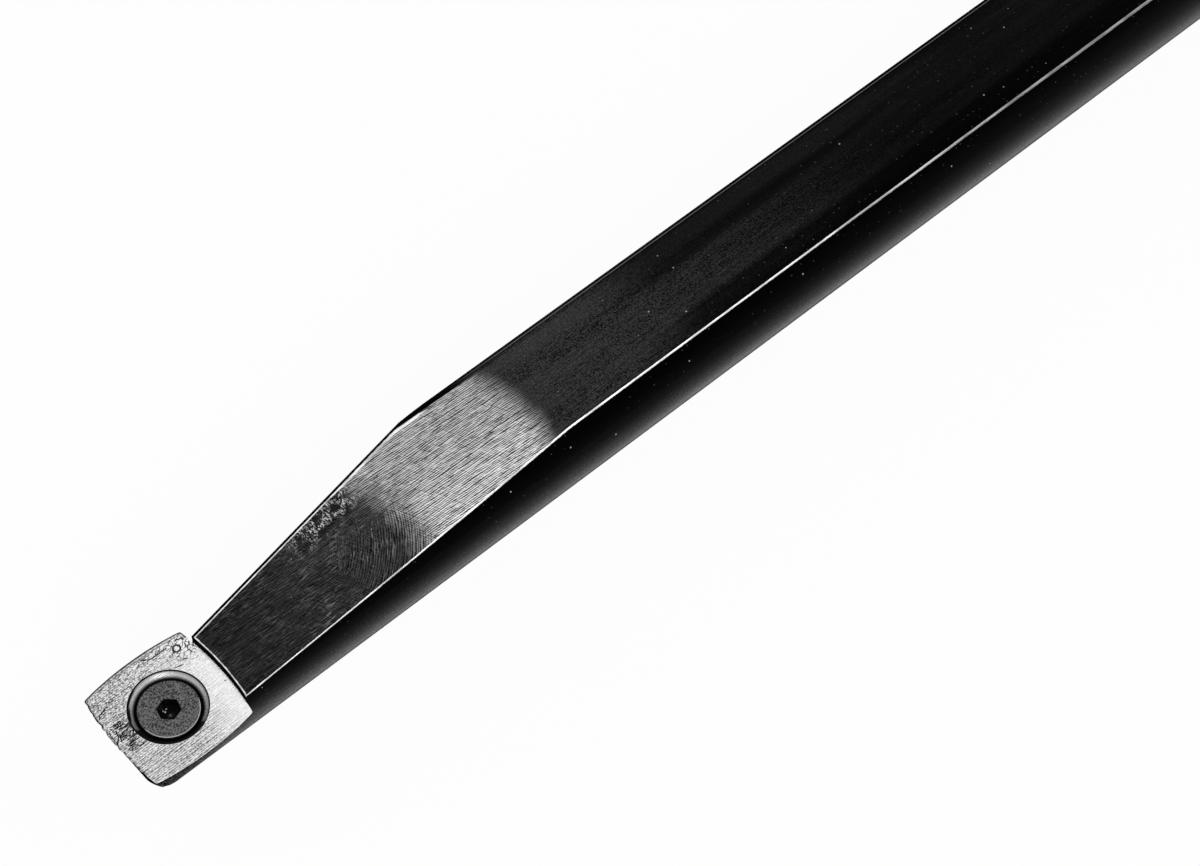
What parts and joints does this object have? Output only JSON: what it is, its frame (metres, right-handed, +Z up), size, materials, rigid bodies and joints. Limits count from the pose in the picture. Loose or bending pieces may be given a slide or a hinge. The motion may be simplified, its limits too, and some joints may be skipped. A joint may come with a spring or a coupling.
{
  "type": "carbide woodturning tool",
  "caption": "Turning tool: square carbide cutter screwed to the stepped nose of a round steel bar with a milled flat, in a turned wooden handle with a ferrule.",
  "frame": {"origin": "bottom centre of the whole tool's box as it lies with the flat up", "axes": "+X along the bar towards the handle, +Y to the tool's left, +Z up out of the milled flat"},
  "size_m": [0.5256, 0.036, 0.036],
  "materials": {
    "blackened_steel": "black oxide, brushed bright on part of the nose's ramp",
    "carbide": "ground, scratched and worn at the cutting edges",
    "screw_steel": "blackened, matt",
    "ferrule_brass": "turned and satin",
    "handle_wood": "turned and oiled"
  },
  "bodies": {
    "root": {"tool_bar": "blackened_steel", "carbide_insert": "carbide", "clamp_screw": "screw_steel", "ferrule": "ferrule_brass", "handle": "handle_wood"}
  },
  "joints": []
}
